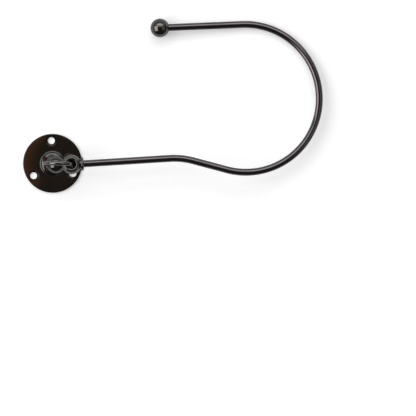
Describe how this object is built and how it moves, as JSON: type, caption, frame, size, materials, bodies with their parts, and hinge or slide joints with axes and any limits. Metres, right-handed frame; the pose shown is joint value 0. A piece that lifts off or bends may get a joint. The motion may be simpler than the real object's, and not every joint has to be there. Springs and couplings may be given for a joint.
{
  "type": "curtain holdback",
  "caption": "Curtain holdback: round wall plate with a drilled ball post, a link ring, and a bent rod hook arm with a ball end, in polished black nickel.",
  "frame": {"origin": "centre of the wall plate's back face", "axes": "+Z out of the wall, +X along the arm from the plate to the hook, +Y towards the arm's tip"},
  "size_m": [0.2536, 0.1477, 0.0392],
  "materials": {
    "black_nickel": "polished black nickel plate on steel",
    "screw_steel": "bright zinc plate"
  },
  "bodies": {
    "wall_mount": {"wall_plate": "black_nickel", "post": "black_nickel", "post_screw": "screw_steel"},
    "ring": {"link_ring": "black_nickel"},
    "arm": {"arm_eye": "black_nickel", "arm_rod": "black_nickel", "end_ball": "black_nickel"}
  },
  "joints": [
    {"name": "ring_swing", "type": "hinge", "parent": "wall_mount", "child": "ring", "pos_m": [0.00313, -0.00022, 0.0156], "axis": [0.9679, -0.0677, -0.2419], "range_deg": [0, 95]},
    {"name": "arm_swing", "type": "hinge", "parent": "ring", "child": "arm", "pos_m": [0.01635, 0.00039, 0.0253], "axis": [0.054, 0.1149, 0.9919], "range_deg": [-20, 90]}
  ]
}
